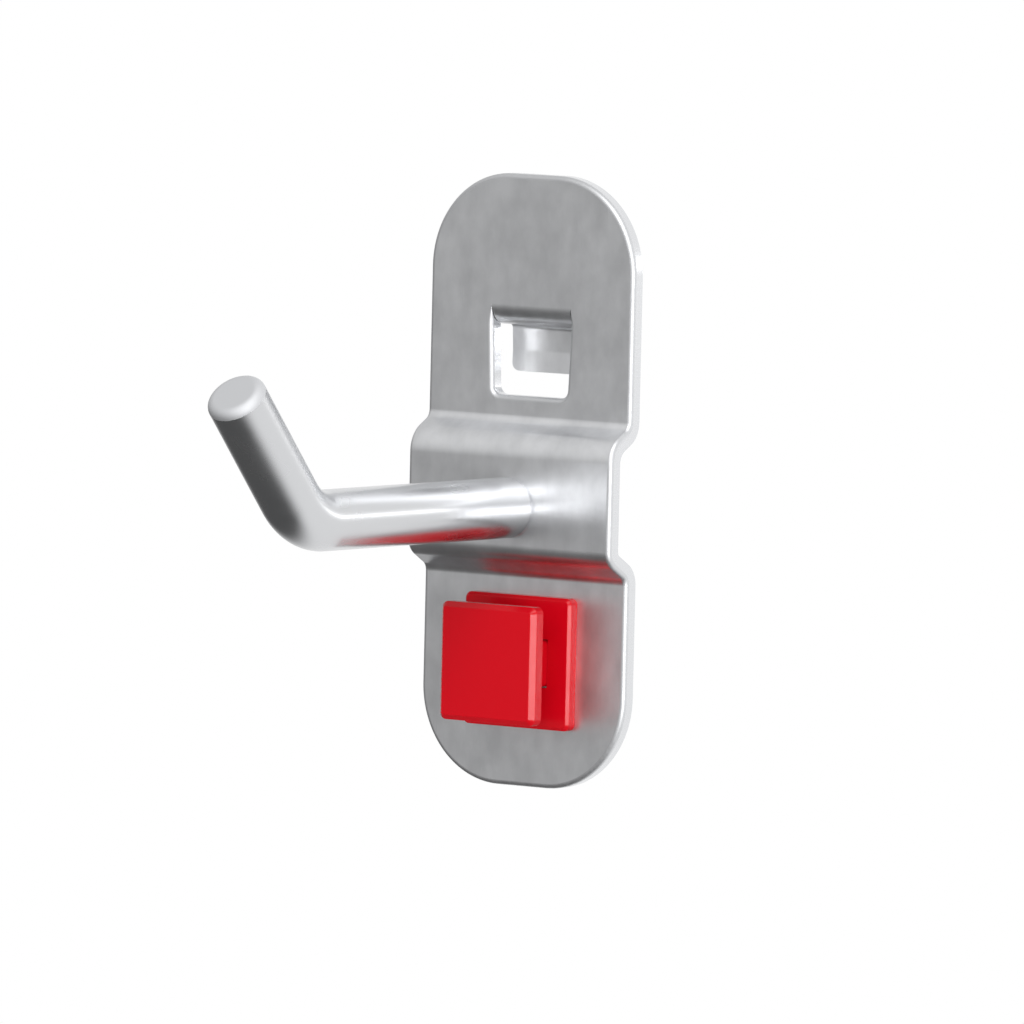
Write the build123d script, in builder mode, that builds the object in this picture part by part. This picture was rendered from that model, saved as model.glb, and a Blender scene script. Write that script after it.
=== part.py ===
from build123d import *
import os
from math import cos, pi, radians, sin, tan

# Hook for a perforated tool panel: a folded sheet that hangs by a tab, a bent rod riveted through its raised band,
# and a push lock in its foot that keeps the hook from lifting off. The lock is drawn pulled out, as it is fitted.
#
# Frame: X to the right seen from the front, Y into the panel, Z up, in millimetres. Y = 0 is the face of the panel
# and the back of the plate. The origin is the middle of the panel hole that the lock goes through.

# Panel that the hook hangs on
panel_thickness = 1.5
panel_hole = 10.0  # side of its square holes
panel_pitch = 38.0  # from one hole to the next

# Back plate
sheet = 1.5
plate_width = 25.0
plate_above_tab = 15.0  # from the tab's seat up to the top edge
plate_below_lock = 12.45  # from the middle of the lock down to the bottom edge
end_flat = 6.0  # straight part of the top and bottom edges, between the rounded corners
edge_roll = 0.45  # rounding that the cutting die leaves on the front edges

# Hanging tab, cut and folded out of its own window
window_top_width = 9.8
window_bottom_width = 9.1
window_below_seat = 6.9
window_corner_radius = 0.9
tab_bend_radius = 0.5  # inside radius of both folds
tab_throat_clearance = 0.25  # behind the panel
tab_lip = 1.9  # lower end of the tab, bent a little towards the panel
tab_lip_turn = 6.0  # degrees
tab_lip_radius = 3.0
tab_cut_gap = 0.08  # between the sides of the tab and of the window

# Raised band that carries the rod, between the window and the lock
band_rise = 3.0
band_slope = 60.0  # degrees between the slopes and the plate
band_below_window = 2.45  # flat plate between the window and the upper slope
band_above_lock = 8.7  # from the middle of the lock up to the lower slope
upper_crown_radius = 1.5  # inside radii of the bends
lower_crown_radius = 0.5
foot_radius = 1.0

# Rod
rod_diameter = 6.0
rod_above_slope = 4.85  # from the top of the lower slope up to the axis
rod_run = 33.0  # from the band to the corner of the bend
rod_leg = 17.1  # from the corner of the bend to the end face
rod_turn = 49.0  # degrees
rod_bend_radius = 7.0  # of the centre line
rod_end_round = 0.9
rod_seat_chamfer = 0.2
rod_shoulder = 1.0  # radial step from the rod down to its spigot
spigot_clearance = 0.05  # radial, in the band
rivet_overhang = 1.5  # radial step from the spigot out to its riveted head
rivet_height = 1.4
rivet_round = 0.8

# Lock sleeve
flange_size = 13.1
flange_thickness = 1.2
flange_corner_radius = 0.7
flange_chamfer = 0.3
sleeve_clearance = 0.3  # beside the panel's hole
sleeve_corner_radius = 0.6
sleeve_side_wall = 0.8
leg_thickness = 2.3
lock_hole_clearance = 0.1  # between the sleeve and the plate
barb_gap = 0.1  # behind the panel
barb_length = 2.4
barb_height = 0.7
barb_lead = 0.5  # how far the tips of the legs are drawn in
nib_length = 0.8  # of the nibs that keep the pin in the sleeve
nib_depth = 0.4
nib_width = 2.0
nib_inset = 0.4  # from the front of the plate
nib_wall = 0.5  # closed body left behind the nibs, before the legs start

# Lock pin
head_size = 11.7
head_thickness = 1.5
head_corner_radius = 0.7
head_chamfer = 0.5
shank_clearance = 0.1  # in the sleeve, on each side
shank_edge_round = 0.5
shank_tip_chamfer = 0.6
lock_travel = 3.3
lock_end_gap = 0.1  # left at each end of the travel

# Heights and depths worked out from the sizes above
tab_seat_z = panel_pitch - panel_hole / 2
plate_top_z = tab_seat_z + plate_above_tab
window_bottom_z = tab_seat_z - window_below_seat
upper_foot_z = window_bottom_z - band_below_window
slope_height = band_rise / tan(radians(band_slope))
band_top_z = upper_foot_z - slope_height
band_bottom_z = band_above_lock + slope_height
band_front_y = -sheet - band_rise
rod_z = band_bottom_z + rod_above_slope
spigot_radius = rod_diameter / 2 - rod_shoulder

# The tab is the blank that its window left: its leg is what the bends, the flat between them and the lip leave over
tab_outer_radius = tab_bend_radius + sheet
tab_fold_z = tab_seat_z + tab_outer_radius
tab_throat = panel_thickness + tab_throat_clearance
tab_flat = tab_throat - 2 * tab_bend_radius
tab_lip_bend = radians(tab_lip_turn) * (tab_lip_radius + sheet / 2)
tab_folds = pi * (tab_bend_radius + sheet / 2)
tab_leg = tab_fold_z - window_bottom_z - tab_flat - tab_folds - tab_lip_bend - tab_lip

sleeve_size = panel_hole - 2 * sleeve_clearance
slot_width = sleeve_size - 2 * sleeve_side_wall
slot_height = sleeve_size - 2 * leg_thickness
shank_width = slot_width - 2 * shank_clearance
shank_height = slot_height - 2 * shank_clearance
flange_front_y = -sheet - flange_thickness
nib_front_y = -sheet + nib_inset
nib_back_y = nib_front_y + nib_length
leg_root_y = nib_back_y + nib_wall
barb_y = panel_thickness + barb_gap
leg_end_y = barb_y + barb_length
head_back_y = flange_front_y - lock_travel - lock_end_gap
shank_tip_y = leg_end_y - lock_travel


def front_plane(y):
    """A plane at depth y, drawn in X and Z, whose positive side faces the front."""
    return Plane(origin=(0, y, 0), x_dir=(1, 0, 0), z_dir=(0, -1, 0))


def on_front_skin(edge):
    """True for an edge whose middle lies on the front of the folded sheet."""
    middle = edge.position_at(0.5)
    return front_skin.distance_to(Vector(middle.Y, middle.Z)) < sheet / 10


# Hanging tab: an L of sheet, folded back over the panel's edge and down behind it, with the outline of its blank
with BuildPart() as hanging_tab:
    with BuildSketch(Plane.YZ):
        with BuildLine() as underside:
            first_fold = JernArc((-sheet, tab_fold_z), (0, -1), tab_outer_radius, 90)
            flat = Line(first_fold @ 1, first_fold @ 1 + (tab_flat, 0))
            second_fold = JernArc(flat @ 1, (1, 0), tab_bend_radius, -90)
            leg = Line(second_fold @ 1, second_fold @ 1 - (0, tab_leg))
            lip_bend = JernArc(leg @ 1, (0, -1), tab_lip_radius, -tab_lip_turn)
            lip = PolarLine(lip_bend @ 1, tab_lip, direction=lip_bend % 1)
            offset(underside.line, amount=sheet, side=Side.LEFT)
        make_face()
    extrude(amount=window_top_width / 2, both=True)
    with BuildSketch(front_plane(0)) as tab_outline:
        with BuildLine():
            root_x = window_top_width / 2 - tab_cut_gap
            tip_x = window_bottom_width / 2 - tab_cut_gap
            tip_z = (lip @ 1).Y
            Polyline((-root_x, tab_fold_z), (root_x, tab_fold_z), (tip_x, tip_z), (-tip_x, tip_z), close=True)
        make_face()
        fillet(tab_outline.vertices().group_by(Axis.Y)[0], radius=window_corner_radius)
    extrude(amount=tab_throat + sheet, both=True, mode=Mode.INTERSECT)

# Back plate: the folded sheet with its rounded corners and rolled edges, the tab in its window, and two holes
with BuildPart() as back_plate:
    with BuildSketch(Plane.YZ):
        with BuildLine():
            front_skin = FilletPolyline(
                (-sheet, plate_top_z),
                (-sheet, upper_foot_z),
                (band_front_y, band_top_z),
                (band_front_y, band_bottom_z),
                (-sheet, band_above_lock),
                (-sheet, -plate_below_lock),
                radius=[foot_radius, upper_crown_radius + sheet, lower_crown_radius + sheet, foot_radius],
            )
            offset(front_skin, amount=sheet, side=Side.LEFT)
        make_face()
    extrude(amount=plate_width / 2, both=True)
    fillet(back_plate.edges().filter_by(Axis.Y), radius=(plate_width - end_flat) / 2)
    # The rolled rim follows the front of the sheet all round, over the bends too
    across = back_plate.edges().filter_by(Axis.X).sort_by(Axis.Z)
    end_edges = [pair.sort_by(Axis.Y)[0] for pair in (across[:2], across[-2:])]
    side_edges = back_plate.edges().filter_by(on_front_skin) - across
    fillet(side_edges + end_edges, radius=edge_roll)
    # Window of the tab, rolled along its sides and bottom
    with BuildSketch(front_plane(0)) as window:
        with BuildLine():
            Polyline(
                (-window_top_width / 2, tab_fold_z),
                (window_top_width / 2, tab_fold_z),
                (window_bottom_width / 2, window_bottom_z),
                (-window_bottom_width / 2, window_bottom_z),
                close=True,
            )
        make_face()
        fillet(window.vertices().group_by(Axis.Y)[0], radius=window_corner_radius)
    extrude(amount=sheet, mode=Mode.SUBTRACT)
    window_rim = back_plate.edges(Select.LAST).group_by(Axis.Y)[0].sort_by(Axis.Z)[:-1]
    fillet(window_rim, radius=edge_roll)
    add(hanging_tab.part)
    # Square hole for the lock and round hole for the rod
    with BuildSketch(front_plane(0)):
        lock_hole_size = sleeve_size + 2 * lock_hole_clearance
        RectangleRounded(lock_hole_size, lock_hole_size, sleeve_corner_radius + lock_hole_clearance)
    extrude(amount=sheet, mode=Mode.SUBTRACT)
    with BuildSketch(front_plane(band_front_y)):
        with Locations((0, rod_z)):
            Circle(spigot_radius + spigot_clearance)
    extrude(amount=-sheet, mode=Mode.SUBTRACT)

# Rod: a bar bent up near its end, shouldered on the band and riveted over behind it
with BuildPart() as hook_rod:
    turn = radians(rod_turn)
    bend_y = band_front_y - rod_run
    with BuildLine():
        FilletPolyline(
            (0, band_front_y, rod_z),
            (0, bend_y, rod_z),
            (0, bend_y - rod_leg * cos(turn), rod_z + rod_leg * sin(turn)),
            radius=rod_bend_radius,
        )
    with BuildSketch(front_plane(band_front_y)):
        with Locations((0, rod_z)):
            Circle(rod_diameter / 2)
    sweep()
    fillet(hook_rod.edges().sort_by(Axis.Y)[0], radius=rod_end_round)
    chamfer(hook_rod.edges().sort_by(Axis.Y)[-1], length=rod_seat_chamfer)
    with BuildSketch(front_plane(band_front_y)):
        with Locations((0, rod_z)):
            Circle(spigot_radius)
    extrude(amount=-sheet)
    with BuildSketch(front_plane(band_front_y + sheet)):
        with Locations((0, rod_z)):
            Circle(spigot_radius + rivet_overhang)
    extrude(amount=-rivet_height)
    fillet(hook_rod.edges().sort_by(Axis.Y)[-1], radius=rivet_round)

# Lock sleeve: a flange on the plate, a square body through plate and panel, two barbed legs behind the panel
with BuildPart() as lock_sleeve:
    with BuildSketch(front_plane(-sheet)):
        RectangleRounded(flange_size, flange_size, flange_corner_radius)
    extrude(amount=flange_thickness)
    chamfer(lock_sleeve.faces().sort_by(Axis.Y)[0].edges(), length=flange_chamfer)
    with BuildSketch(front_plane(-sheet)):
        RectangleRounded(sleeve_size, sleeve_size, sleeve_corner_radius)
    extrude(amount=-(sheet + barb_y))
    # Ends of the legs with their barbs, drawn on the upper leg and mirrored to the lower one
    with BuildSketch(Plane.YZ):
        with BuildLine():
            leg_top = sleeve_size / 2
            Polyline(
                (barb_y, slot_height / 2),
                (barb_y, leg_top + barb_height),
                (leg_end_y, leg_top - barb_lead),
                (leg_end_y, slot_height / 2),
                close=True,
            )
        make_face()
        mirror(about=Plane.XZ)
    extrude(amount=sleeve_size / 2 - sleeve_corner_radius, both=True)
    # Slot for the pin, and the open sides between the legs
    with BuildSketch(front_plane(flange_front_y)):
        Rectangle(slot_width, slot_height)
    extrude(amount=-(leg_end_y - flange_front_y), mode=Mode.SUBTRACT)
    with BuildSketch(Plane.YZ):
        with Locations((leg_root_y, 0)):
            Rectangle(leg_end_y - leg_root_y, slot_height, align=(Align.MIN, Align.CENTER))
    extrude(amount=sleeve_size / 2, both=True, mode=Mode.SUBTRACT)
    # Nibs on the upper and lower walls of the slot
    with BuildSketch(Plane.YZ):
        with Locations((nib_front_y, slot_height / 2)):
            Rectangle(nib_length, nib_depth, align=(Align.MIN, Align.MAX))
        mirror(about=Plane.XZ)
    extrude(amount=nib_width / 2, both=True)

# Lock pin: a square push head and a flat shank, grooved along its top and bottom for the nibs
with BuildPart() as lock_pin:
    with BuildSketch(front_plane(head_back_y)):
        RectangleRounded(head_size, head_size, head_corner_radius)
    extrude(amount=head_thickness)
    chamfer(lock_pin.faces().sort_by(Axis.Y)[0].edges(), length=head_chamfer)
    with BuildSketch(front_plane(head_back_y)):
        Rectangle(shank_width, shank_height)
    extrude(amount=-(shank_tip_y - head_back_y))
    chamfer(lock_pin.faces().sort_by(Axis.Y)[-1].edges().filter_by(Axis.X), length=shank_tip_chamfer)
    shank_edges = lock_pin.edges().filter_by(Axis.Y).filter_by_position(Axis.Y, head_back_y, shank_tip_y)
    fillet(shank_edges, radius=shank_edge_round)
    with BuildSketch(Plane.YZ):
        groove_front_y = nib_front_y - lock_travel - lock_end_gap
        groove_length = nib_back_y + lock_end_gap - groove_front_y
        with Locations((groove_front_y, shank_height / 2)):
            Rectangle(groove_length, nib_depth, align=(Align.MIN, Align.MAX))
        mirror(about=Plane.XZ)
    extrude(amount=nib_width / 2 + shank_clearance, both=True, mode=Mode.SUBTRACT)

os.makedirs("parts", exist_ok=True)
for name, piece in (
    ("back_plate", back_plate),
    ("hook_rod", hook_rod),
    ("lock_sleeve", lock_sleeve),
    ("lock_pin", lock_pin),
):
    piece.part.label = name
    export_step(piece.part, f"parts/{name}.step")
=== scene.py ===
"""Looks of a panel hook with a push lock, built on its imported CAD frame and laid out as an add-on.

Frame: X to the right seen from the front, Y into the panel, Z up, in metres. Y = 0 is the face of the panel, and the
origin is the middle of the panel hole that the lock goes through.
"""

import math

import bmesh
import bpy
import numpy as np
from bpy.props import FloatProperty, FloatVectorProperty, PointerProperty
from mathutils import Matrix, Vector, geometry


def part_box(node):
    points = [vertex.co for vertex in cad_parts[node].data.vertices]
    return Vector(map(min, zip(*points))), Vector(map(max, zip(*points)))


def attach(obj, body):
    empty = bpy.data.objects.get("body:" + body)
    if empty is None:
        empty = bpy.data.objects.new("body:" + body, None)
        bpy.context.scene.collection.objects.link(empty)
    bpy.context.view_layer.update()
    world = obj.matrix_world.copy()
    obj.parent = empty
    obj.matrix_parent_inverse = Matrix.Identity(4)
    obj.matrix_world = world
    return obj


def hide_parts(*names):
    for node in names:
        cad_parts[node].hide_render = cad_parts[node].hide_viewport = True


bl_info = {
    "name": "Panel hook with push lock",
    "version": (1, 0, 0),
    "blender": (4, 5, 0),
    "location": "3D View > Sidebar > Panel hook",
    "description": "Builds a folded steel hook plate, its bent rod and its red push lock, and a plain studio",
    "category": "Add Mesh",
}

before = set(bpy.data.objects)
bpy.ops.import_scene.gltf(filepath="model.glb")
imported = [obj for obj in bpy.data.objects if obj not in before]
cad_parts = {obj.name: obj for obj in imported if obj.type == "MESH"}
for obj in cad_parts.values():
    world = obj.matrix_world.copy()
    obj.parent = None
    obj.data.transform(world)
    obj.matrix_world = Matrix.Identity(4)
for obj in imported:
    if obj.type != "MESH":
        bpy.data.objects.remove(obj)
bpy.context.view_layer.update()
PLATE_LOW, PLATE_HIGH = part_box("back_plate")
FLANGE_LOW, FLANGE_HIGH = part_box("lock_sleeve")
HEAD_LOW, HEAD_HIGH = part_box("lock_pin")

MM = 0.001
GUARD = 0.04 * MM  # width of the strips that keep a rounding's shading off the flat beside it
WALL_GUARD = 0.04  # the same on the cut edges, as a share of their height
MERGE = 1e-7  # points closer than this are one
SHARP = math.radians(35)  # edges that turn more than this are sharp
CHAMFER_SOFTNESS = 0.1 * MM  # radius of the edges of the lock's chamfers

# Faces round the bends and roundings, and along the window's sides
PLATE_CORNER_FACES = 32
SHEET_BEND_FACES = 16
WINDOW_SIDE_FACES = 23
WINDOW_CORNER_FACES = 12
TAB_CORNER_FACES = 10
ROLL_FACES = 8
ROD_FACES = 128
ROD_BEND_FACES = 40
ROD_EDGE_FACES = 8
ROD_HOLE_FACES = 64
LOCK_CORNER_FACES = 10
CHAMFER_EDGE_FACES = 6
SHANK_CORNER_FACES = 4

LAMP_AIM = (0, -0.02, 0.015)  # middle of the hook, which every lamp faces


def linear(hex_colour):
    """An sRGB hex colour as linear RGBA: c / 12.92 below 0.04045, else ((c + 0.055) / 1.055) to the power 2.4."""
    c = np.array([int(hex_colour[i : i + 2], 16) for i in (1, 3, 5)]) / 255
    return (*np.where(c <= 0.04045, c / 12.92, ((c + 0.055) / 1.055) ** 2.4).tolist(), 1.0)


def length(name, description, default):
    """A length property, in metres."""
    return FloatProperty(name=name, description=description, default=default, unit="LENGTH", precision=5)


def degrees(name, description, default):
    """An angle property, given in degrees."""
    return FloatProperty(name=name, description=description, default=math.radians(default), unit="ROTATION")


def fraction(name, description, default):
    """A property from 0 to 1."""
    return FloatProperty(name=name, description=description, default=default, min=0, max=1)


def watts(name, description, default):
    """A lamp's power, in watts."""
    return FloatProperty(name=name, description=description, default=default, min=0, unit="POWER")


def colour(name, description, hex_colour):
    """A colour property from an sRGB hex value."""
    return FloatVectorProperty(
        name=name, description=description, default=linear(hex_colour), size=4, min=0, max=1, subtype="COLOR"
    )


class PlateSizes(bpy.types.PropertyGroup):
    """Sizes of the folded sheet, taken on its front skin."""

    sheet: length("Sheet", "Thickness of the sheet", 1.5 * MM)
    end_flat: length("End flat", "Straight part of the top and bottom edges", 6 * MM)
    edge_roll: length("Edge roll", "Rounding of the cut edges at the front", 0.45 * MM)
    upper_foot: length("Upper foot", "Height where the upper slope leaves the plate", 23.65 * MM)
    lower_foot: length("Lower foot", "Height where the lower slope leaves the plate", 8.7 * MM)
    slope: degrees("Slope", "Angle between the slopes and the plate", 60)
    foot_radius: length("Foot radius", "Front radius of the bends at the feet of the slopes", 1 * MM)
    upper_crown: length("Upper crown", "Front radius of the bend above the band", 3 * MM)
    lower_crown: length("Lower crown", "Front radius of the bend below the band", 2 * MM)
    fold: length("Fold", "Height of the line where the tab leaves the plate", 35 * MM)
    window_bottom: length("Window bottom", "Height of the window's lower edge", 26.1 * MM)
    window_top_width: length("Window top width", "Width of the window at the fold", 9.8 * MM)
    window_bottom_width: length("Window bottom width", "Width of the window at its lower edge", 9.1 * MM)
    window_corner: length("Window corner", "Radius of the window's lower corners and of the tab's", 0.9 * MM)
    roll_run: length("Roll run", "Length over which the roll of the window's sides fades in below the fold", 1.8 * MM)
    tab_bend: length("Tab bend", "Inside radius of the tab's folds", 0.5 * MM)
    tab_flat: length("Tab flat", "Length of the tab between its folds", 0.75 * MM)
    tab_leg: length("Tab leg", "Length of the tab between its second fold and its lip", 1.93 * MM)
    tab_lip: length("Tab lip", "Length of the tab's lower end, bent towards the panel", 1.9 * MM)
    tab_lip_turn: degrees("Tab lip turn", "Angle of the lip's bend", 6)
    tab_lip_radius: length("Tab lip radius", "Front radius of the lip's bend", 3 * MM)
    tab_tip_width: length("Tab tip width", "Width of the tab at its tip", 8.94 * MM)
    tab_gap: length("Tab gap", "Gap between the tab's sides and the window's", 0.08 * MM)
    lock_hole: length("Lock hole", "Side of the square hole for the lock", 9.6 * MM)
    lock_hole_corner: length("Lock hole corner", "Corner radius of the square hole", 0.7 * MM)
    rod_hole: length("Rod hole", "Radius of the hole for the rod's spigot", 2.05 * MM)


class RodSizes(bpy.types.PropertyGroup):
    """Sizes of the bent rod and of its riveted end."""

    radius: length("Radius", "Radius of the rod", 3 * MM)
    height: length("Height", "Height of the rod's axis at the band", 15.282 * MM)
    run: length("Run", "From the band to the corner of the bend", 33 * MM)
    leg: length("Leg", "From the corner of the bend to the end face", 17.1 * MM)
    turn: degrees("Turn", "Angle of the bend", 49)
    bend: length("Bend", "Radius of the bend's centre line", 7 * MM)
    end_round: length("End round", "Rounding of the end face", 0.9 * MM)
    seat_chamfer: length("Seat chamfer", "Chamfer where the rod meets the band", 0.2 * MM)
    spigot: length("Spigot", "Radius of the spigot through the band", 2 * MM)
    rivet: length("Rivet", "Radius of the riveted head", 3.5 * MM)
    rivet_height: length("Rivet height", "Height of the riveted head", 1.4 * MM)
    rivet_round: length("Rivet round", "Rounding of the riveted head", 0.8 * MM)


class LockSizes(bpy.types.PropertyGroup):
    """Sizes of the lock's sleeve and pin."""

    flange_corner: length("Flange corner", "Corner radius of the flange", 0.7 * MM)
    flange_chamfer: length("Flange chamfer", "Chamfer of the flange's front edges", 0.3 * MM)
    sleeve: length("Sleeve", "Side of the sleeve's square body", 9.4 * MM)
    sleeve_corner: length("Sleeve corner", "Corner radius of the sleeve's body", 0.6 * MM)
    slot_width: length("Slot width", "Width of the sleeve's slot", 7.8 * MM)
    slot_height: length("Slot height", "Height of the sleeve's slot", 4.8 * MM)
    nib_front: length("Nib front", "Depth where the nibs in the slot start", -1.1 * MM)
    nib_back: length("Nib back", "Depth where the nibs in the slot end", -0.3 * MM)
    nib_width: length("Nib width", "Width of the nibs", 2 * MM)
    nib_height: length("Nib height", "Height of the nibs above the slot's walls", 0.4 * MM)
    leg_root: length("Leg root", "Depth where the sleeve's sides end and its legs start", 0.2 * MM)
    barb_start: length("Barb start", "Depth of the barbs' front", 1.6 * MM)
    barb_height: length("Barb height", "Height of the barbs above the legs", 0.7 * MM)
    barb_lead: length("Barb lead", "How far the tips of the legs are drawn in", 0.5 * MM)
    head_thickness: length("Head thickness", "Thickness of the pin's head", 1.5 * MM)
    head_corner: length("Head corner", "Corner radius of the head", 0.7 * MM)
    head_chamfer: length("Head chamfer", "Chamfer of the head's front edges", 0.5 * MM)
    shank_width: length("Shank width", "Width of the pin's shank, which nearly fills the slot", 7.74 * MM)
    shank_height: length("Shank height", "Height of the pin's shank", 4.6 * MM)
    shank_round: length("Shank round", "Rounding of the shank's long edges", 0.5 * MM)
    tip_chamfer: length("Tip chamfer", "Chamfer of the shank's tip", 0.6 * MM)
    groove_front: length("Groove front", "Depth where the shank's grooves start", -4.5 * MM)
    groove_back: length("Groove back", "Depth where the shank's grooves end", -0.2 * MM)
    groove_width: length("Groove width", "Width of the grooves", 2.2 * MM)
    groove_depth: length("Groove depth", "Depth of the grooves", 0.4 * MM)


class Finishes(bpy.types.PropertyGroup):
    """Colours and gloss of the materials."""

    plate_zinc: colour("Plate zinc", "Colour of the plate's satin zinc where it is lightest", "#F3F4F6")
    # The darker zinc is the dark side of the plate's clouds and the rod's duller end, and on the rolled rims a
    # painted shade that dims their highlights
    plate_shade: colour("Plate shade", "Colour of dull zinc: clouds, rims, the rod's end", "#D6D7D9")
    plate_roughness: fraction("Plate roughness", "Roughness of the plate", 0.35)
    roll_roughness: fraction("Roll roughness", "Roughness of the rolled rims", 0.5)
    edge_zinc: colour("Edge zinc", "Colour of the zinc on the cut edges", "#E1E2E4")
    edge_roughness: fraction("Edge roughness", "Roughness of the cut edges", 0.25)
    rod_zinc: colour("Rod zinc", "Colour of the rod's bright zinc", "#D3D4D6")
    rod_roughness: fraction("Rod roughness", "Roughness of the rod", 0.26)
    end_roughness: fraction("End roughness", "Roughness of the rod's end", 0.7)
    lock_red: colour("Lock red", "Colour of the moulded lock", "#C00516")
    lock_roughness: fraction("Lock roughness", "Roughness of the lock", 0.2)


class StageSettings(bpy.types.PropertyGroup):
    """Camera, floor and light."""

    azimuth: degrees("Azimuth", "Camera's angle to the right", 37)
    elevation: degrees("Elevation", "Camera's angle up", 4.07)
    roll: degrees("Roll", "Clockwise turn of the picture", 1.338)
    distance: length("Distance", "From the camera to its target", 1.5009)
    target: FloatVectorProperty(
        name="Target",
        description="Point that the camera looks at",
        default=(0.004616, -0.009965, 0.01535),
        subtype="XYZ",
        unit="LENGTH",
    )
    lens: FloatProperty(
        name="Lens", description="Focal length on a 36 mm sensor", default=538.58, min=1, unit="CAMERA"
    )
    floor_height: length("Floor height", "Height of the floor", -0.3)
    floor_size: length("Floor size", "Side of the square floor", 2)
    floor_colour: colour("Floor colour", "Colour of the pale floor", "#E8E8E8")
    key_light: watts("Key light", "Power of the lamp above in front", 1.9)
    top_light: watts("Top light", "Power of the lamp high on the right", 2.4)
    side_light: watts("Side light", "Power of the lamp on the right", 3.6)
    rim_light: watts("Rim light", "Power of the lamp behind on the right", 0.16)


class PanelHookSettings(bpy.types.PropertyGroup):
    """All the settings of the panel hook."""

    plate: PointerProperty(type=PlateSizes, name="Plate", description="Sizes of the plate")
    rod: PointerProperty(type=RodSizes, name="Rod", description="Sizes of the rod")
    lock: PointerProperty(type=LockSizes, name="Lock", description="Sizes of the lock")
    finish: PointerProperty(type=Finishes, name="Finish", description="Colours and gloss")
    stage: PointerProperty(type=StageSettings, name="Stage", description="Camera, floor and light")


def grid_patch(points, closed=False):
    """Points in rows and columns with a quad in each cell; a closed grid joins its last column to its first."""
    rows, cols = points.shape[:2]
    row = np.arange(rows - 1)[:, None] * cols
    here = np.arange(cols if closed else cols - 1)[None, :]
    beside = (here + 1) % cols
    cells = np.stack((row + here, row + beside, row + cols + beside, row + cols + here), -1)
    return points.reshape(-1, 3), cells.reshape(-1, 4)


def cap_patch(loop):
    """One flat face over a closed loop of points."""
    return loop, np.arange(len(loop))[None, :]


def make_piece(name, coats, body, node):
    """Joins patches into one closed mesh with smooth roundings and sharp edges, on the body of the node it replaces.

    coats lists each material with the patches that have it."""
    patches = [patch for material, coated in coats for patch in coated]
    starts = np.cumsum([0] + [len(points) for points, faces in patches[:-1]])
    places = np.concatenate([points for points, faces in patches])
    corners = [face for start, (points, faces) in zip(starts, patches) for face in (faces + start).tolist()]
    sizes = [sum(len(faces) for points, faces in coated) for material, coated in coats]
    mesh = bpy.data.meshes.new(name)
    mesh.from_pydata(places.tolist(), [], corners)
    mesh.polygons.foreach_set("material_index", np.repeat(np.arange(len(coats)), sizes))
    welded = bmesh.new()
    welded.from_mesh(mesh)
    bmesh.ops.remove_doubles(welded, verts=welded.verts, dist=MERGE)
    bmesh.ops.recalc_face_normals(welded, faces=welded.faces)
    welded.to_mesh(mesh)
    welded.free()
    mesh.polygons.foreach_set("use_smooth", np.ones(len(mesh.polygons), bool))
    mesh.set_sharp_from_angle(angle=SHARP)
    for material, coated in coats:
        mesh.materials.append(material)
    piece = bpy.data.objects.new(name, mesh)
    bpy.context.scene.collection.objects.link(piece)
    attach(piece, body)
    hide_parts(node)
    return piece


def corner_runs(points, radii):
    """Heading at the start, and runs of (length, curvature), along a polyline with rounded corners.

    A corner that turns by a is cut back by r tan(a / 2) on both sides and replaced by an arc of length r a."""
    steps = np.diff(points, axis=0)
    headings = np.unwrap(np.arctan2(steps[:, 1], steps[:, 0]))
    turns = np.diff(headings)
    cuts = radii * np.tan(np.abs(turns) / 2)
    runs = np.zeros((2 * len(steps) - 1, 2))
    runs[0::2, 0] = np.hypot(*steps.T) - np.append(cuts, 0) - np.append(0, cuts)
    runs[1::2, 0] = radii * np.abs(turns)
    runs[1::2, 1] = np.sign(turns) / radii
    return headings[0], runs


def run_step(distance, curvature, heading):
    """Step over a distance s at curvature k: sin(ks)/k along the heading and (1 - cos(ks))/k to its left."""
    turned = distance * curvature
    along = distance * np.sinc(turned / np.pi)
    left = distance * turned / 2 * np.sinc(turned / (2 * np.pi)) ** 2
    return np.stack(
        (along * np.cos(heading) - left * np.sin(heading), along * np.sin(heading) + left * np.cos(heading)), -1
    )


def run_starts(runs):
    """Length along a path at which each of its runs starts."""
    return np.append(0, np.cumsum(runs[:-1, 0]))


def path_frame(start, heading, runs, s):
    """Places on a path of runs at lengths s, and the unit normals to its left there."""
    starts = run_starts(runs)
    headings = heading + np.append(0, np.cumsum(runs[:-1, 0] * runs[:-1, 1]))
    steps = run_step(runs[:-1, 0], runs[:-1, 1], headings[:-1])
    corners = np.asarray(start) + np.concatenate((np.zeros((1, 2)), np.cumsum(steps, axis=0)))
    run = np.clip(np.searchsorted(starts, s, side="right") - 1, 0, len(runs) - 1)
    place = corners[run] + run_step(s - starts[run], runs[run, 1], headings[run])
    turned = headings[run] + runs[run, 1] * (s - starts[run])
    return place, np.stack((-np.sin(turned), np.cos(turned)), -1)


def bend_rows(runs, steps):
    """Lengths along a path at even steps through each of its arcs, with one more just before and after each arc."""
    arcs = runs[:, 1] != 0
    share = np.linspace(0, 1, steps + 1)
    inside = run_starts(runs)[arcs][:, None] + runs[arcs, 0][:, None] * share
    return np.concatenate((inside[:, :1] - GUARD, inside, inside[:, -1:] + GUARD), axis=1).ravel()


def fold(path, x, s, depth):
    """Points of a folded sheet: x across, s along the path of its front skin, and depth into it, left of the path."""
    x, s, depth = np.broadcast_arrays(x, s, depth)
    place, normal = path_frame(*path, s)
    across = place + normal * depth[..., None]
    return np.stack((x, across[..., 0], across[..., 1]), -1)


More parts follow.
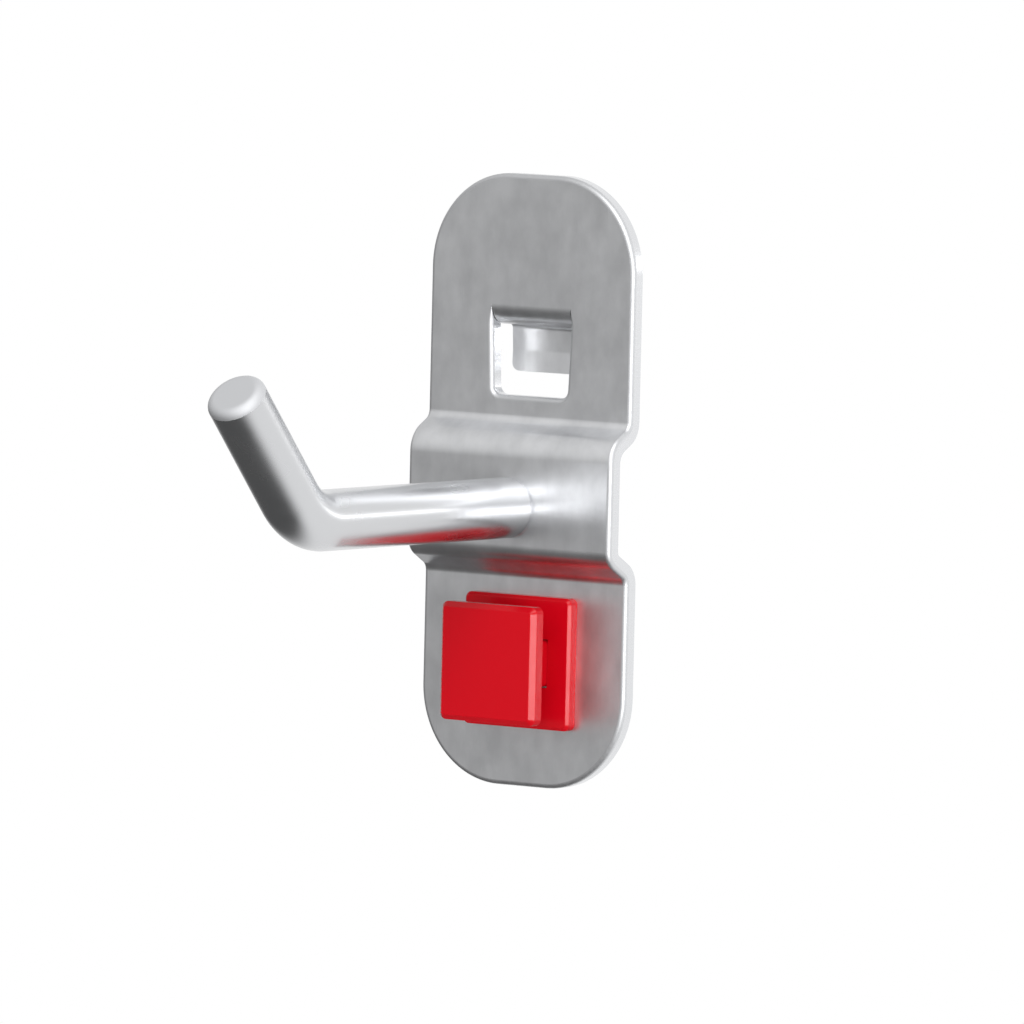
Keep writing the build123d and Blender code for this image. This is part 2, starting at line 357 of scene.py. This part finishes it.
def rounded_loop(half_x, half_z, radius, steps=LOCK_CORNER_FACES):
    """A closed loop of quarter circles of one radius about the four inner corners of a rectangle."""
    angle = np.linspace(0, np.pi / 2, steps + 1) + np.arange(4)[:, None] * np.pi / 2
    x = np.array([[1], [-1], [-1], [1]]) * (half_x - radius) + radius * np.cos(angle)
    z = np.array([[1], [1], [-1], [-1]]) * (half_z - radius) + radius * np.sin(angle)
    return np.stack((x.ravel(), z.ravel()), -1)


def roll_profile():
    """Shares of a quarter-round edge and the wall below it: (inset, depth) of the roll, then share of the wall."""
    angle = np.linspace(0, np.pi / 2, ROLL_FACES + 1)
    inset = np.append(1 - np.sin(angle), [0, 0])
    depth = np.append(1 - np.cos(angle), [1, 1])
    wall = np.append(np.zeros(ROLL_FACES + 1), [WALL_GUARD, 1])
    return inset[:, None], depth[:, None], wall[:, None]


def edge_wall(path, outline, outward, roll, sheet):
    """A rolled cut edge of the sheet, carried along its outline.

    The roll r is a quarter circle from the front skin, inset by r (1 - sin a) and r (1 - cos a) deep, and the wall
    goes on to the back skin."""
    inset, depth, wall = roll_profile()
    rolled = roll * depth
    flat = outline + outward * (roll * inset)[..., None]
    return fold(path, flat[..., 0], flat[..., 1], rolled + (sheet - rolled) * wall)


def within(points, loop):
    """True for points inside a closed loop: an even-odd count of the loop's edges crossed on the way to the right."""
    x, y = points[:, :1], points[:, 1:]
    (x0, y0), (x1, y1) = loop.T, np.roll(loop, -1, axis=0).T
    crossed = (y0 > y) != (y1 > y)
    with np.errstate(divide="ignore", invalid="ignore"):
        at = x0 + (y - y0) * (x1 - x0) / (y1 - y0)
    return (np.sum(crossed & (x < at), axis=1) % 2).astype(bool)


def skin_patch(path, depth, outline, holes, guards, lines):
    """One skin of the sheet.

    Its flat blank, with the holes cut and the bend lines drawn, is filled with triangles between those lines and
    folded along the path."""
    loops = [outline, *holes, *guards]
    flat = np.concatenate(loops + lines)
    edges, start = [], 0
    for points, closed in [(loop, True) for loop in loops] + [(line, False) for line in lines]:
        order = start + np.arange(len(points))
        pairs = np.stack((order, np.roll(order, -1)), -1)
        edges.append(pairs if closed else pairs[:-1])
        start += len(points)
    filled = geometry.delaunay_2d_cdt(
        (flat / MM).tolist(), np.concatenate(edges).tolist(), [], 0, MERGE / MM, False
    )
    flat = np.array([tuple(point) for point in filled[0]]) * MM
    triangles = np.array(filled[2])
    middle = flat[triangles].mean(axis=1)
    kept = within(middle, outline)
    for hole in holes:
        kept &= ~within(middle, hole)
    return fold(path, flat[:, 0], flat[:, 1], depth), triangles[kept]


def plate_patches(sizes):
    """The folded plate, with the tab folded out of its window: its skins, its rolled rims and its cut edges."""
    front, top, bottom = PLATE_LOW.y, PLATE_HIGH.z, PLATE_LOW.z
    sheet, roll = sizes.sheet, sizes.edge_roll
    drop = (-sheet - front) / math.tan(sizes.slope)
    profile = np.array(
        [
            (-sheet, top),
            (-sheet, sizes.upper_foot),
            (front, sizes.upper_foot - drop),
            (front, sizes.lower_foot + drop),
            (-sheet, sizes.lower_foot),
            (-sheet, bottom),
        ]
    )
    radii = np.array([sizes.foot_radius, sizes.upper_crown, sizes.lower_crown, sizes.foot_radius])
    heading, runs = corner_runs(profile, radii)
    path = (profile[0], heading, runs)
    total = runs[:, 0].sum()
    bends = bend_rows(runs, SHEET_BEND_FACES)

    # Outline of the blank: a rounded rectangle, right half from the top edge's middle down, then its mirror image
    half = PLATE_HIGH.x
    corner = half - sizes.end_flat / 2
    angle = np.linspace(0, np.pi / 2, PLATE_CORNER_FACES + 1)
    arc = np.stack((half - corner + corner * np.sin(angle), corner - corner * np.cos(angle)), -1)
    sides = np.stack((np.full(len(bends), half), bends), -1)
    right = np.concatenate(([(0, 0)], arc, sides, arc[::-1] * (1, -1) + (0, total), [(0, total)]))
    upper = np.stack((np.sin(angle), -np.cos(angle)), -1)
    outward = np.concatenate(([(0, -1)], upper, np.tile((1, 0), (len(bends), 1)), upper[::-1] * (1, -1), [(0, 1)]))
    outline = np.concatenate((right, right[-2:0:-1] * (-1, 1)))
    outward = np.concatenate((outward, outward[-2:0:-1] * (-1, 1)))

    # Window: sides leaning in by a small angle, round lower corners; right half from the fold down, then its mirror
    fold_s, window_s = top - sizes.fold, top - sizes.window_bottom
    lean = math.atan2((sizes.window_top_width - sizes.window_bottom_width) / 2, window_s - fold_s)
    corner_s = window_s - sizes.window_corner
    side_top = np.array((sizes.window_top_width / 2, fold_s))
    corner_x = side_top[0] - (corner_s - fold_s) * math.tan(lean) - sizes.window_corner / math.cos(lean)
    lower = np.linspace(lean, np.pi / 2, WINDOW_CORNER_FACES + 1)
    radial = np.stack((np.cos(lower), np.sin(lower)), -1)
    round_corner = (corner_x, corner_s) + sizes.window_corner * radial
    side_share = np.linspace(0, 1, WINDOW_SIDE_FACES + 1)[:-1, None] ** 1.5  # closer together near the fold
    side = side_top + (round_corner[0] - side_top) * side_share
    window = np.concatenate((side, round_corner, [(0, window_s)]))
    away = np.concatenate((np.tile(radial[0], (len(side), 1)), radial, [(0, 1)]))
    share = np.clip((window[:, 1] - fold_s) / sizes.roll_run, 0, 1)
    window_roll = roll * share**2 * (3 - 2 * share)
    window = np.concatenate((window, window[-2::-1] * (-1, 1)))
    away = np.concatenate((away, away[-2::-1] * (-1, 1)))
    window_roll = np.append(window_roll, window_roll[-2::-1])

    # Tab: folded back and down out of the window's top edge, its width tapering to a tip with round corners
    outer = sizes.tab_bend + sheet
    tab_runs = np.array(
        [
            (outer * np.pi / 2, 1 / outer),
            (sizes.tab_flat, 0),
            (sizes.tab_bend * np.pi / 2, -1 / sizes.tab_bend),
            (sizes.tab_leg, 0),
            (sizes.tab_lip_radius * sizes.tab_lip_turn, -1 / sizes.tab_lip_radius),
            (sizes.tab_lip, 0),
        ]
    )
    tab_path = (np.array((-sheet, sizes.fold)), -np.pi / 2, tab_runs)
    tab_length = tab_runs[:, 0].sum()
    tip_start = tab_length - sizes.window_corner
    rows = bend_rows(tab_runs, SHEET_BEND_FACES)
    rows = np.concatenate(([0], rows[(rows > 0) & (rows < tip_start)], [tip_start]))
    root = sizes.window_top_width / 2 - sizes.tab_gap
    tab_half = root + (sizes.tab_tip_width / 2 - root) * rows / tab_length
    tab_half = tab_half + sizes.tab_gap * np.exp(-rows / (2 * sizes.tab_gap))
    tip = np.linspace(0, np.pi / 2, TAB_CORNER_FACES + 1)[1:]
    rows = np.append(rows, tip_start + sizes.window_corner * np.sin(tip))
    tab_half = np.append(tab_half, tab_half[-1] - sizes.window_corner * (1 - np.cos(tip)))
    columns = np.array((-1, -0.98, 0, 0.98, 1))  # shares of the tab's half width, with a narrow strip at each side
    across = tab_half[:, None] * columns
    tab_edge = np.concatenate(
        (
            np.stack((tab_half, rows), -1),
            np.stack((across[-1, -2:0:-1], np.full(3, tab_length)), -1),
            np.stack((-tab_half[::-1], rows[::-1]), -1),
        )
    )
    tab_depth = sheet * np.array((0, WALL_GUARD, 1))[:, None]

    # Holes for the lock and the rod; the path's fifth run is the flat of the band
    lock_hole = rounded_loop(sizes.lock_hole / 2, sizes.lock_hole / 2, sizes.lock_hole_corner)
    lock_hole = lock_hole + (0, total + bottom)
    band_start = run_starts(runs)[4]
    band_top = path_frame(*path, np.array([band_start]))[0][0, 1]
    around = np.linspace(0, 2 * np.pi, ROD_HOLE_FACES, endpoint=False)
    rod_hole = sizes.rod_hole * np.stack((np.cos(around), np.sin(around)), -1)
    rod_hole = rod_hole + (0, band_start + band_top - bpy.context.scene.panel_hook.rod.height)

    def skin(depth, edge, rim):
        """Fills one skin: edge is its inset from the outline and rim its distance from the window."""
        tab_root = np.stack((columns[1:-1] * sizes.window_top_width / 2, np.full(3, fold_s)), -1)
        opening = np.concatenate((window + away * rim[:, None], tab_root))
        window_guard = window + away * (rim + GUARD)[:, None]
        window_guard[[0, -1], 1] -= GUARD
        ends = np.array((-half + edge, -half + edge + GUARD, half - edge - GUARD, half - edge))
        lines = [np.stack((ends, np.full(4, row)), -1) for row in bends]
        guards = [outline - outward * (edge + GUARD), window_guard]
        return skin_patch(path, depth, outline - outward * edge, [opening, lock_hole, rod_hole], guards, lines)

    depths = np.array((0, sheet))[:, None]
    rim = edge_wall(path, outline, -outward, np.full(len(outline), roll), sheet)
    window_rim = edge_wall(path, window, away, window_roll, sheet)
    skins = [
        skin(0.0, roll, window_roll),
        skin(sheet, 0.0, np.zeros(len(window))),
        grid_patch(fold(tab_path, across, rows[:, None], 0.0)),
        grid_patch(fold(tab_path, across, rows[:, None], sheet)),
    ]
    rolls = [grid_patch(rim[:-1], closed=True), grid_patch(window_rim[:-1])]
    cuts = [
        grid_patch(rim[-2:], closed=True),
        grid_patch(window_rim[-2:]),
        grid_patch(fold(path, lock_hole[:, 0], lock_hole[:, 1], depths), closed=True),
        grid_patch(fold(path, rod_hole[:, 0], rod_hole[:, 1], depths), closed=True),
        grid_patch(fold(tab_path, tab_edge[:, 0], tab_edge[:, 1], tab_depth)),
    ]
    return skins, rolls, cuts


def rod_patches(sizes):
    """The rod: circles of radius r(s) about a line with one bend, from the riveted head to the end face.

    The bar and its rounded end are given apart."""
    seat = PLATE_LOW.y
    sheet = bpy.context.scene.panel_hook.plate.sheet
    corner = np.array((seat - sizes.run, sizes.height))
    end = corner + sizes.leg * np.array((-math.cos(sizes.turn), math.sin(sizes.turn)))
    line = np.array(((seat, sizes.height), corner, end))
    heading, runs = corner_runs(line, np.array([sizes.bend]))
    total = runs[:, 0].sum()
    quarter = np.linspace(0, np.pi / 2, ROD_EDGE_FACES + 1)
    rivet_back = -sheet - sizes.rivet_height
    bends = bend_rows(runs, ROD_BEND_FACES)
    s = np.concatenate(
        (
            rivet_back + sizes.rivet_round * (1 - np.cos(quarter)),
            [-sheet, -sheet, 0, 0, sizes.seat_chamfer, sizes.seat_chamfer + GUARD],
            bends,
            [total - sizes.end_round - GUARD],
            total - sizes.end_round + sizes.end_round * np.sin(quarter),
        )
    )
    radius = np.concatenate(
        (
            sizes.rivet - sizes.rivet_round * (1 - np.sin(quarter)),
            [sizes.rivet, sizes.spigot, sizes.spigot, sizes.radius - sizes.seat_chamfer, sizes.radius, sizes.radius],
            np.full(len(bends) + 1, sizes.radius),
            sizes.radius - sizes.end_round * (1 - np.cos(quarter)),
        )
    )
    s = np.concatenate((s[:1], s, s[-1:]))
    radius = np.concatenate((radius[:1] - GUARD, radius, radius[-1:] - GUARD))
    place, normal = path_frame(line[0], heading, runs, s)
    turn = np.linspace(0, 2 * np.pi, ROD_FACES, endpoint=False)
    across = radius[:, None] * np.cos(turn)
    upright = radius[:, None] * np.sin(turn)
    points = np.stack(
        (across, place[:, :1] + normal[:, :1] * upright, place[:, 1:] + normal[:, 1:] * upright), -1
    )
    rounded = len(quarter) + 1
    bar = [grid_patch(points[: 1 - rounded], closed=True), cap_patch(points[0])]
    end = [grid_patch(points[-rounded:], closed=True), cap_patch(points[-1])]
    return bar, end


def depth_loops(loops, depths):
    """Closed loops in X and Z, each at its own depth Y."""
    loops = np.asarray(loops)
    return np.stack((loops[..., 0], np.broadcast_to(np.asarray(depths)[:, None], loops.shape[:2]), loops[..., 1]), -1)


def slab_rows(half, corner, back, front, chamfer):
    """Loops and depths up a square slab.

    A profile of (inset, depth) goes up its side, over a chamfer whose two edges are slightly rounded, and onto the
    front face."""
    profile = np.array([(0, back), (0, front + chamfer), (chamfer, front), (2 * chamfer, front)])
    heading, runs = corner_runs(profile, np.full(2, CHAMFER_SOFTNESS))
    rows = np.append(0, bend_rows(runs, CHAMFER_EDGE_FACES))
    inset, depth = path_frame(profile[0], heading, runs, rows)[0].T
    loops = [rounded_loop(half - cut, half - cut, max(corner - cut, 0)) for cut in inset]
    return loops, depth


def sleeve_patches(sizes):
    """The sleeve: a flange and a tube as loops carried from outside to inside, two legs with barbs, and two nibs."""
    back = -bpy.context.scene.panel_hook.plate.sheet
    loops, depth = slab_rows(FLANGE_HIGH.x, sizes.flange_corner, back, FLANGE_LOW.y, sizes.flange_chamfer)
    body = rounded_loop(sizes.sleeve / 2, sizes.sleeve / 2, sizes.sleeve_corner)
    slot = rounded_loop(sizes.slot_width / 2, sizes.slot_height / 2, 0)
    loops = [slot, body, body, *loops, slot, slot]
    depth = [sizes.leg_root, sizes.leg_root, back, *depth, FLANGE_LOW.y, sizes.leg_root]
    patches = [grid_patch(depth_loops(loops, depth), closed=True)]
    low, high = sizes.slot_height / 2, sizes.sleeve / 2
    upper = body.reshape(4, -1, 2)[:2].reshape(-1, 2)
    leg = np.concatenate((upper, [(-high, low), (high, low)]))
    barb = np.array(
        [
            (sizes.barb_start, low),
            (sizes.barb_start, high + sizes.barb_height),
            (FLANGE_HIGH.y, high - sizes.barb_lead),
            (FLANGE_HIGH.y, low),
        ]
    )
    reach = high - sizes.sleeve_corner
    # The nibs reach half their height into the walls that carry them
    nib_x = np.array((1, -1, -1, 1)) * sizes.nib_width / 2
    nib_z = low + np.array((0.5, 0.5, -1, -1)) * sizes.nib_height
    for side in (1, -1):
        prism = depth_loops([leg * (1, side)] * 2, [0, sizes.barb_start])
        ends = np.array((-reach, reach))[:, None]
        x, y, z = np.broadcast_arrays(ends, barb[:, 0], side * barb[:, 1])
        wedge = np.stack((x, y, z), -1)
        nib = depth_loops([np.stack((nib_x, side * nib_z), -1)] * 2, [sizes.nib_front, sizes.nib_back])
        for loop in (prism, wedge, nib):
            patches += [grid_patch(loop, closed=True), cap_patch(loop[0]), cap_patch(loop[1])]
    return patches


def shank_loop(sizes, groove, drawn_in=0.0):
    """The shank's section: round corners, and a notch of the groove's depth in the middle of the top and bottom."""
    half_x, half_z = sizes.shank_width / 2, sizes.shank_height / 2 - drawn_in
    corners = rounded_loop(half_x, half_z, min(sizes.shank_round, half_z), SHANK_CORNER_FACES).reshape(4, -1, 2)
    edge = sizes.groove_width / 2
    notch = np.array([(edge, half_z), (edge, half_z - groove), (-edge, half_z - groove), (-edge, half_z)])
    return np.concatenate((corners[0], notch, corners[1], corners[2], -notch, corners[3]))


def pin_patches(sizes):
    """The pin: a square slab for its head, and a shank of sections carried back from inside it, with two grooves."""
    head_back = HEAD_LOW.y + sizes.head_thickness
    loops, depth = slab_rows(HEAD_HIGH.x, sizes.head_corner, head_back, HEAD_LOW.y, sizes.head_chamfer)
    head = depth_loops(loops, depth)
    plain, grooved = shank_loop(sizes, 0.0), shank_loop(sizes, sizes.groove_depth)
    tip = HEAD_HIGH.y
    shank = depth_loops(
        [plain, plain, grooved, grooved, plain, plain, shank_loop(sizes, 0.0, sizes.tip_chamfer)],
        [
            head_back - sizes.head_thickness / 2,
            sizes.groove_front,
            sizes.groove_front,
            sizes.groove_back,
            sizes.groove_back,
            tip - sizes.tip_chamfer,
            tip,
        ],
    )
    patches = []
    for part in (head, shank):
        patches += [grid_patch(part, closed=True), cap_patch(part[0]), cap_patch(part[-1])]
    return patches


def add_node(tree, kind, inputs=None, **settings):
    """Adds a node with its settings; inputs gives its sockets, by name or number, a value or another output."""
    node = tree.nodes.new(kind)
    for key, value in settings.items():
        setattr(node, key, value)
    for key, value in (inputs or {}).items():
        if isinstance(value, bpy.types.NodeSocket):
            tree.links.new(value, node.inputs[key])
        else:
            node.inputs[key].default_value = value
    return node


def new_material(name, base, metallic, roughness):
    """A material with only a principled shader wired to its output, and that shader."""
    material = bpy.data.materials.new(name)
    material.use_nodes = True
    tree = material.node_tree
    tree.nodes.clear()
    surface = {"Base Color": base, "Metallic": metallic, "Roughness": roughness}
    shader = add_node(tree, "ShaderNodeBsdfPrincipled", surface)
    add_node(tree, "ShaderNodeOutputMaterial", {"Surface": shader.outputs["BSDF"]})
    return material, shader


def noise(tree, size, detail):
    """Noise in the object's own coordinates; size gives the spacing of its patches along X, Y and Z."""
    place = add_node(tree, "ShaderNodeTexCoord")
    scale = tuple(1 / step for step in size)
    spaced = add_node(tree, "ShaderNodeMapping", {"Vector": place.outputs["Object"], "Scale": scale})
    pattern = {"Vector": spaced.outputs[0], "Scale": 1.0, "Detail": detail}
    return add_node(tree, "ShaderNodeTexNoise", pattern).outputs[0]


def spread(tree, value, low, high):
    """Noise, which lies mostly between 0.3 and 0.7, carried over to a range of its own."""
    ends = {"Value": value, "From Min": 0.3, "From Max": 0.7, "To Min": low, "To Max": high}
    return add_node(tree, "ShaderNodeMapRange", ends).outputs[0]


def satin_zinc():
    """Zinc-plated sheet steel, brushed up and down before plating: satin grey with faint upright scratches."""
    finish = bpy.context.scene.panel_hook.finish
    material, shader = new_material("zinc_plated_sheet_satin", finish.plate_zinc, 1.0, finish.plate_roughness)
    tree = material.node_tree
    # Scratches about 0.12 mm apart and 5 mm long, coarser than real brushing so that they show
    scratches = noise(tree, (0.12 * MM, 0.5 * MM, 5 * MM), 2.0)
    bump = add_node(tree, "ShaderNodeBump", {"Height": scratches, "Strength": 0.4, "Distance": 0.02 * MM})
    tree.links.new(bump.outputs[0], shader.inputs["Normal"])
    # Cloudy plating, in patches about 2.5 mm wide and 4 mm high; sockets 6 and 7 are the two colours of the mix
    clouds = spread(tree, noise(tree, (2.5 * MM, 2.5 * MM, 4 * MM), 5.0), 0.15, 0.85)
    mix = {"Factor": clouds, 6: finish.plate_shade, 7: finish.plate_zinc}
    tone = add_node(tree, "ShaderNodeMix", mix, data_type="RGBA")
    tree.links.new(tone.outputs[2], shader.inputs["Base Color"])
    # Upright brushing spreads reflections sideways
    sideways = add_node(tree, "ShaderNodeCombineXYZ", {"X": 1.0, "Z": 0.02})
    tree.links.new(sideways.outputs[0], shader.inputs["Tangent"])
    shader.inputs["Anisotropic"].default_value = 0.5
    return material


def rolled_zinc():
    """Zinc over the rims that the shear rolled down: rough, so the light fades softly round them; darker as painted
    shade.
    """
    finish = bpy.context.scene.panel_hook.finish
    # The rims take the darker zinc colour as painted shade, so that the lamps' highlights on them stay below white
    material, shader = new_material("zinc_plated_rolled_rim_painted_shade", finish.plate_shade, 1.0, finish.roll_roughness)
    tree = material.node_tree
    grains = noise(tree, (0.3 * MM, 0.3 * MM, 0.3 * MM), 2.0)
    rough = spread(tree, grains, finish.roll_roughness - 0.05, finish.roll_roughness + 0.05)
    tree.links.new(rough, shader.inputs["Roughness"])
    return material


def cut_zinc():
    """Zinc over the sheared edges of the sheet: bright, with the fine lines of the shear across them."""
    finish = bpy.context.scene.panel_hook.finish
    material, shader = new_material("zinc_plated_sheared_edge", finish.edge_zinc, 1.0, finish.edge_roughness)
    tree = material.node_tree
    lines = noise(tree, (0.15 * MM, 1.5 * MM, 0.15 * MM), 2.0)
    rough = spread(tree, lines, finish.edge_roughness - 0.04, finish.edge_roughness + 0.04)
    tree.links.new(rough, shader.inputs["Roughness"])
    return material


def bright_zinc():
    """Zinc-plated drawn bar: smooth and bright, with clear, slightly uneven streaks of light along the rod."""
    finish = bpy.context.scene.panel_hook.finish
    material, shader = new_material("zinc_plated_bar_bright", finish.rod_zinc, 1.0, finish.rod_roughness)
    tree = material.node_tree
    # Patches about 2 mm across and 6 mm along the rod
    patches = noise(tree, (2 * MM, 6 * MM, 2 * MM), 1.0)
    rough = spread(tree, patches, finish.rod_roughness - 0.02, finish.rod_roughness + 0.02)
    tree.links.new(rough, shader.inputs["Roughness"])
    return material


def tumbled_zinc():
    """Zinc over the rod's cut end, rounded by tumbling: paler and duller than the drawn bar, with small dents."""
    finish = bpy.context.scene.panel_hook.finish
    material, shader = new_material("zinc_plated_tumbled_end", finish.plate_shade, 1.0, finish.end_roughness)
    tree = material.node_tree
    dents = noise(tree, (0.5 * MM, 0.5 * MM, 0.5 * MM), 2.0)
    bump = add_node(tree, "ShaderNodeBump", {"Height": dents, "Strength": 0.2, "Distance": 0.03 * MM})
    tree.links.new(bump.outputs[0], shader.inputs["Normal"])
    return material


def red_moulding():
    """Injection-moulded ABS, smooth from a polished mould: even colour with soft white highlights on its edges."""
    finish = bpy.context.scene.panel_hook.finish
    material, shader = new_material("abs_moulded_red", finish.lock_red, 0.0, finish.lock_roughness)
    shader.inputs["Specular IOR Level"].default_value = 0.2
    tree = material.node_tree
    # Flow of the plastic, in patches about 1.5 mm wide
    flow = noise(tree, (1.5 * MM, 1.5 * MM, 1.5 * MM), 3.0)
    rough = spread(tree, flow, finish.lock_roughness - 0.04, finish.lock_roughness + 0.04)
    tree.links.new(rough, shader.inputs["Roughness"])
    return material


class PANELHOOK_OT_plate(bpy.types.Operator):
    """Builds the folded back plate"""

    bl_idname = "panel_hook.plate"
    bl_label = "Back plate"

    def execute(self, context):
        skins, rolls, cuts = plate_patches(context.scene.panel_hook.plate)
        coats = [(satin_zinc(), skins), (rolled_zinc(), rolls), (cut_zinc(), cuts)]
        make_piece("plate_sheet", coats, "holder", "back_plate")
        return {"FINISHED"}


class PANELHOOK_OT_rod(bpy.types.Operator):
    """Builds the bent rod with its riveted end"""

    bl_idname = "panel_hook.rod"
    bl_label = "Rod"

    def execute(self, context):
        bar, end = rod_patches(context.scene.panel_hook.rod)
        make_piece("rod_bar", [(bright_zinc(), bar), (tumbled_zinc(), end)], "holder", "hook_rod")
        return {"FINISHED"}


class PANELHOOK_OT_lock(bpy.types.Operator):
    """Builds the lock's sleeve and its push pin"""

    bl_idname = "panel_hook.lock"
    bl_label = "Push lock"

    def execute(self, context):
        sizes = context.scene.panel_hook.lock
        red = red_moulding()
        make_piece("sleeve_moulding", [(red, sleeve_patches(sizes))], "holder", "lock_sleeve")
        make_piece("pin_moulding", [(red, pin_patches(sizes))], "lock", "lock_pin")
        return {"FINISHED"}


def add_camera(stage):
    """A camera on a sphere about its target, turned about its own axis by the roll."""
    az, el, roll = stage.azimuth, stage.elevation, stage.roll
    back = Vector((math.sin(az) * math.cos(el), -math.cos(az) * math.cos(el), math.sin(el)))
    right = Vector((math.cos(az), math.sin(az), 0))
    up = back.cross(right)
    turned_right = right * math.cos(roll) + up * math.sin(roll)
    turned_up = up * math.cos(roll) - right * math.sin(roll)
    camera = bpy.data.cameras.new("camera")
    camera.sensor_width = 36
    camera.lens = stage.lens
    placed = bpy.data.objects.new("camera", camera)
    turn = Matrix((turned_right, turned_up, back)).transposed().to_4x4()
    placed.matrix_world = Matrix.Translation(Vector(stage.target) + back * stage.distance) @ turn
    bpy.context.scene.collection.objects.link(placed)
    bpy.context.scene.camera = placed


def add_lamp(name, place, size, power):
    """A rectangular area lamp that faces the hook and isn't in the picture."""
    lamp = bpy.data.lights.new(name, "AREA")
    lamp.shape = "RECTANGLE"
    lamp.size, lamp.size_y = size
    lamp.energy = power
    placed = bpy.data.objects.new(name, lamp)
    placed.visible_camera = False
    placed.location = place
    placed.rotation_euler = (Vector(LAMP_AIM) - Vector(place)).to_track_quat("-Z", "Y").to_euler()
    bpy.context.scene.collection.objects.link(placed)


def facing(tree, axis, low, high, least, most):
    """A smooth step from least to most, as a direction's part along an axis goes from low to high."""
    direction = add_node(tree, "ShaderNodeTexCoord").outputs["Generated"]
    along = add_node(tree, "ShaderNodeVectorMath", {0: direction, 1: axis}, operation="DOT_PRODUCT").outputs["Value"]
    ends = {"Value": along, "From Min": low, "From Max": high, "To Min": least, "To Max": most}
    return add_node(tree, "ShaderNodeMapRange", ends, interpolation_type="SMOOTHSTEP").outputs[0]


def combine(tree, operation, first, second):
    """Two values combined by one operation."""
    return add_node(tree, "ShaderNodeMath", {0: first, 1: second}, operation=operation).outputs[0]


def add_world():
    """A white backdrop, seen by the camera and, behind the hook, by reflections, and a room that is dark below."""
    world = bpy.data.worlds.new("studio")
    bpy.context.scene.world = world
    world.use_nodes = True
    tree = world.node_tree
    tree.nodes.clear()
    # The room is darkest below on the left, and the backdrop stands behind the hook, a little to the right
    room = facing(tree, (0.55, 0, 1), low=-0.78, high=-0.02, least=0.1, most=0.64)
    behind = facing(tree, (0.35, 1, -0.1), low=0.1, high=0.6, least=0, most=1)
    ray = add_node(tree, "ShaderNodeLightPath").outputs
    mirrored = combine(tree, "MAXIMUM", ray["Is Glossy Ray"], ray["Is Transmission Ray"])
    backdrop = combine(tree, "MULTIPLY", mirrored, behind)
    white = combine(tree, "MAXIMUM", ray["Is Camera Ray"], backdrop)
    level = add_node(tree, "ShaderNodeMix", {"Factor": white, "A": room, "B": 1.0}, data_type="FLOAT")
    light = add_node(tree, "ShaderNodeBackground", {"Color": (1, 1, 1, 1), "Strength": level.outputs[0]})
    add_node(tree, "ShaderNodeOutputWorld", {"Surface": light.outputs[0]})


def add_floor(stage):
    """A pale square floor below the hook, which catches its shadow."""
    half, height = stage.floor_size / 2, stage.floor_height
    mesh = bpy.data.meshes.new("floor")
    corners = [(-half, -half, height), (half, -half, height), (half, half, height), (-half, half, height)]
    mesh.from_pydata(corners, [], [(0, 1, 2, 3)])
    mesh.materials.append(new_material("floor_paper_pale", stage.floor_colour, 0.0, 0.9)[0])
    floor = bpy.data.objects.new("floor", mesh)
    bpy.context.scene.collection.objects.link(floor)
    floor.visible_glossy = False


class PANELHOOK_OT_stage(bpy.types.Operator):
    """Sets the camera, the floor and the studio light"""

    bl_idname = "panel_hook.stage"
    bl_label = "Stage"

    def execute(self, context):
        stage = context.scene.panel_hook.stage
        add_camera(stage)
        add_world()
        add_lamp("key_lamp", place=(0.319, -0.704, 0.505), size=(0.7, 0.5), power=stage.key_light)
        add_lamp("top_lamp", place=(0.356, -0.445, 0.724), size=(0.4, 0.4), power=stage.top_light)
        add_lamp("side_lamp", place=(0.742, -0.526, -0.048), size=(0.3, 0.3), power=stage.side_light)
        add_lamp("rim_lamp", place=(0.531, 0.697, 0.141), size=(0.3, 0.08), power=stage.rim_light)
        add_floor(stage)
        context.scene.view_settings.view_transform = "Standard"
        return {"FINISHED"}


class PANELHOOK_PT_sidebar(bpy.types.Panel):
    """Lists the hook's pieces and its stage"""

    bl_idname = "PANELHOOK_PT_sidebar"
    bl_label = "Panel hook"
    bl_space_type = "VIEW_3D"
    bl_region_type = "UI"
    bl_category = "Panel hook"

    def draw(self, context):
        for operator in OPERATORS:
            self.layout.operator(operator.bl_idname)


OPERATORS = (PANELHOOK_OT_plate, PANELHOOK_OT_rod, PANELHOOK_OT_lock, PANELHOOK_OT_stage)
CLASSES = (
    PlateSizes,
    RodSizes,
    LockSizes,
    Finishes,
    StageSettings,
    PanelHookSettings,
    *OPERATORS,
    PANELHOOK_PT_sidebar,
)


def register():
    """Registers the classes and gives the scene its settings."""
    for cls in CLASSES:
        bpy.utils.register_class(cls)
    bpy.types.Scene.panel_hook = PointerProperty(type=PanelHookSettings)


def unregister():
    """Takes the settings and the classes away again."""
    del bpy.types.Scene.panel_hook
    for cls in reversed(CLASSES):
        bpy.utils.unregister_class(cls)


def main():
    """Builds the pieces and the stage."""
    register()
    bpy.ops.panel_hook.plate()
    bpy.ops.panel_hook.rod()
    bpy.ops.panel_hook.lock()
    bpy.ops.panel_hook.stage()


if __name__ == "__main__":
    main()
